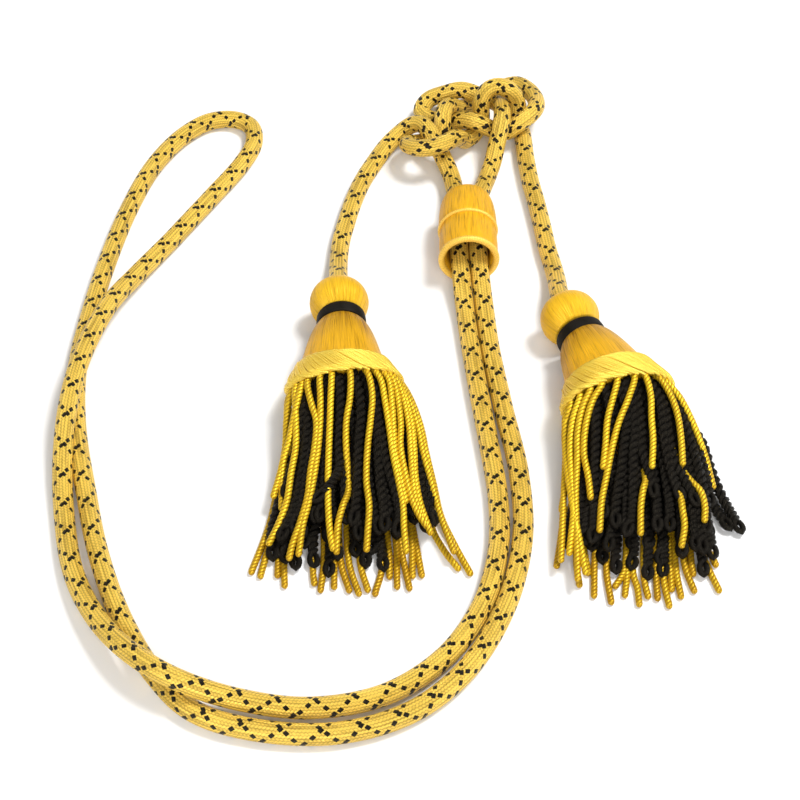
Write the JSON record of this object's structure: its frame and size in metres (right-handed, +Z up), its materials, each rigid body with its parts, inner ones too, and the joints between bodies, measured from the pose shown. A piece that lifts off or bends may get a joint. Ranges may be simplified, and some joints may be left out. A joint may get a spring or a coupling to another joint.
{
  "type": "aiguillette dress cord with slide and two tassels",
  "caption": "Braided gold dress cord with black flecks, doubled through a barrel slide, tied in a flat knot and ending in fringed tassels, lying flat.",
  "frame": {"origin": "on the table, under the middle of the whole piece as it lies", "axes": "+Z up from the table, +Y towards the knot and away from the tassels' fringes, +X towards the right-hand tassel"},
  "size_m": [0.2026, 0.277, 0.0231],
  "materials": {
    "gold_cord": "silky, with a fine braid and regular black flecks",
    "gold_silk": "silky, with fine lengthwise threads",
    "gold_bullion": "bright, finely ribbed",
    "black_cord": "dull, slightly fuzzy"
  },
  "bodies": {
    "root": {"cord_left_end": "gold_cord", "cord_right_end": "gold_cord", "cord_loop": "gold_cord", "slide": "gold_silk", "left_ball": "gold_silk", "left_neck_band": "black_cord", "left_bell": "gold_silk", "left_border": "gold_bullion", "left_gold_fringe": "gold_bullion", "left_black_fringe": "black_cord", "right_ball": "gold_silk", "right_neck_band": "black_cord", "right_bell": "gold_silk", "right_border": "gold_bullion", "right_gold_fringe": "gold_bullion", "right_black_fringe": "black_cord"}
  },
  "joints": []
}
